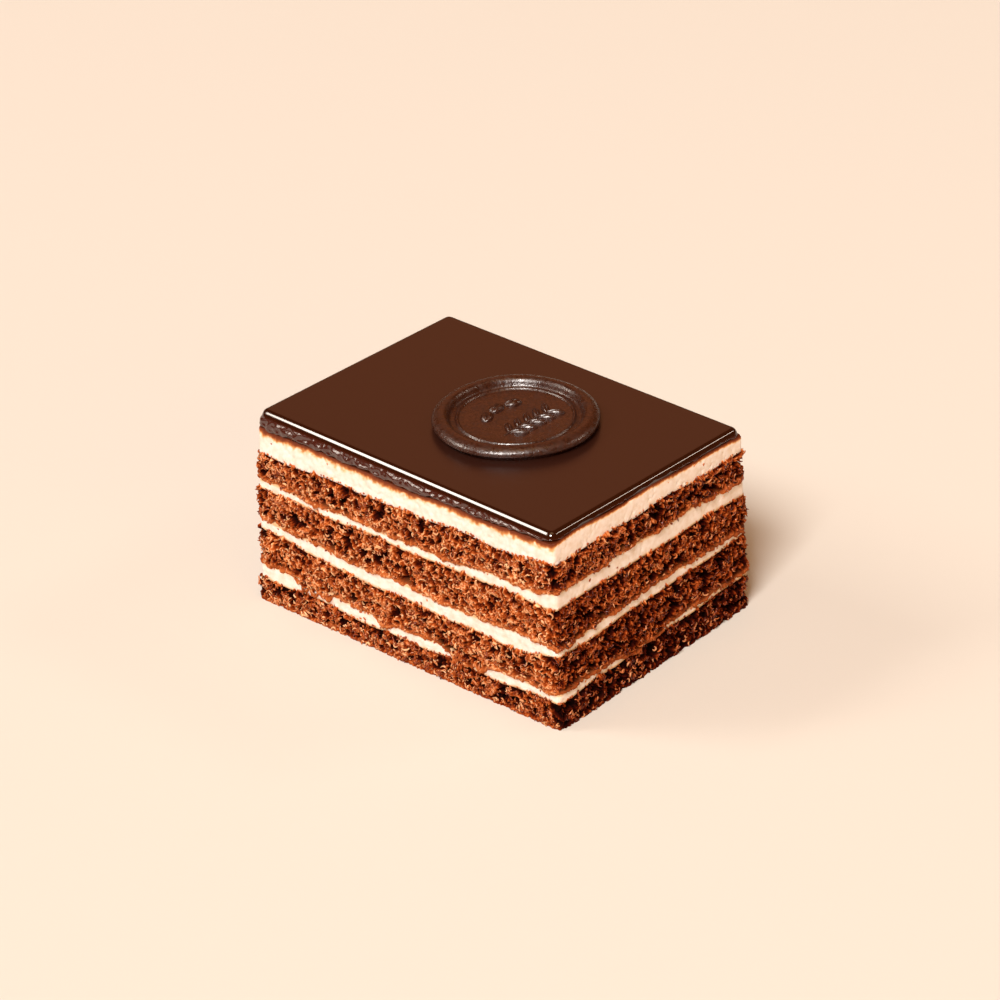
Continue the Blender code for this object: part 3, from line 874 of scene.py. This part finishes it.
def makeSealMaterial():
    # moulded chocolate: satin, a little dusty and grainy where it left the mould
    material, shader = newMaterial("moulded chocolate")
    where = addNode(material, "ShaderNodeTexCoord").outputs["Object"]
    dust = addNode(
        material, "ShaderNodeTexNoise", values=dict(Scale=1 / (0.5 * mm), Detail=3.0),
        links=dict(Vector=where))
    tone = fillRamp(
        addNode(material, "ShaderNodeValToRGB", links=dict(Fac=dust.outputs["Fac"])),
        (0.35, "280F07"), (0.65, "3C1C11"))
    material.node_tree.links.new(tone, shader.inputs["Base Color"])
    mottle = addNode(
        material, "ShaderNodeTexNoise", values=dict(Scale=1 / (1.3 * mm), Detail=3.0),
        links=dict(Vector=where))
    satin = addNode(
        material, "ShaderNodeMapRange", links=dict(Value=mottle.outputs["Fac"]),
        values={"From Min": 0.35, "From Max": 0.65, "To Min": 0.22, "To Max": 0.42})
    material.node_tree.links.new(satin.outputs[0], shader.inputs["Roughness"])
    shader.inputs["Specular IOR Level"].default_value = 1.0
    bump = addNode(
        material, "ShaderNodeBump", values=dict(Strength=0.9, Distance=0.1 * mm),
        links=dict(Height=dust.outputs["Fac"]))
    material.node_tree.links.new(bump.outputs["Normal"], shader.inputs["Normal"])
    return material


def placeSeal(bm):
    # puts a mesh made round the seal's middle in its place on the glaze
    foot = placeOnSlice(*sealSettings["centre"], sliceShape["height"])
    bmesh.ops.transform(bm, matrix=Matrix.Translation(foot), verts=bm.verts)
    return meshFrom(bm)


def makeSealDisc(material):
    s = sealSettings
    section = [(s["radius"] - inset, height) for inset, height in s["rim"]]
    section += [(s["ringRadius"] + out, s["fieldHeight"] + rise) for out, rise in s["ring"]]
    section = [(0.0, 0.0)] + section
    section += [(s["fieldInset"], s["fieldHeight"]), (0.0, s["fieldHeight"])]
    bm = bmesh.new()
    points = [bm.verts.new((radius * mm, 0.0, height * mm)) for radius, height in section]
    edges = [bm.edges.new(pair) for pair in zip(points, points[1:])]
    bmesh.ops.spin(
        bm, geom=points + edges, axis=(0, 0, 1), cent=(0, 0, 0), steps=s["steps"], angle=2 * math.pi,
        use_merge=True)
    bmesh.ops.remove_doubles(bm, verts=bm.verts, dist=0.001 * mm)         # closes the middle
    for vert in bm.verts:
        angle = math.atan2(vert.co.y, vert.co.x)
        lobes = sum(size * math.sin(count * angle + turn) for count, turn, size in s["lobes"])
        share = (vert.co.xy.length / (s["radius"] * mm)) ** s["edgePower"]
        vert.co.xy *= 1 + s["unevenness"] * lobes * share
    linkPiece(placeSeal(bm), "seal_disc", material, "seal")


emblemSettings = dict(
    # three beans in a bow; sizes are half lengths, widths and heights
    bean=(1.9, 1.35, 1.1), beanPitch=3.9, beanRow=-4.3, beanBow=1.0, beanFan=28,
    # beside them a sprig, with leaf pairs along a stem
    stem=(0.4, 7.5, 0.7), leaf=(2.0, 0.8, 0.95), leafPairs=5, leafLean=52, leafReach=(0.75, 0.5),
    sprigRow=3.6, sprigLength=15.0,
    # the groove along a bean or leaf, which wanders a little; as shares of the half sizes
    grooveDepth=0.5, grooveWidth=0.2, grooveSway=0.18, grooveTurns=2.5,
    sink=0.12,                                      # how deep all of it stands in the field
)


def addPebble(bm, halfSizes, place, turn, groove):
    # a flattened ball, with a groove pressed along its length where asked
    s = emblemSettings
    made = bmesh.ops.create_uvsphere(bm, u_segments=32, v_segments=16, radius=1.0)["verts"]
    for vert in made:
        if groove:
            sway = s["grooveSway"] * math.sin(s["grooveTurns"] * vert.co.x)
            middle = math.exp(-((vert.co.y - sway) / s["grooveWidth"]) ** 2)
            vert.co.z -= s["grooveDepth"] * middle * max(vert.co.z, 0.0)
        vert.co = Vector([a * b for a, b in zip(vert.co, halfSizes)]) * mm
    base = sealSettings["fieldHeight"] - s["sink"]
    move = Matrix.Translation(Vector((*place, base)) * mm)
    bmesh.ops.transform(bm, matrix=move @ Matrix.Rotation(math.radians(turn), 4, "Z"), verts=made)


def makeEmblem(material):
    s = emblemSettings
    bm = bmesh.new()
    for number in (-1, 0, 1):
        place = (s["beanRow"] - s["beanBow"] * (1 - abs(number)), s["beanPitch"] * number)
        addPebble(bm, s["bean"], place, 90 - s["beanFan"] * number, True)
    addPebble(bm, s["stem"], (s["sprigRow"], 0.0), 0, False)
    pitch = s["sprigLength"] / (s["leafPairs"] + 0.5)
    for pair in range(s["leafPairs"]):
        for side in (-1, 1):
            along = pitch * (pair - (s["leafPairs"] - 1) / 2)
            outward, upward = [share * s["leaf"][0] for share in s["leafReach"]]
            place = (s["sprigRow"] + side * outward, along + upward)
            addPebble(bm, s["leaf"], place, 90 - side * s["leafLean"], True)
    linkPiece(placeSeal(bm), "seal_emblem", material)


sealMaterial = makeSealMaterial()
makeSealDisc(sealMaterial)
makeEmblem(sealMaterial)
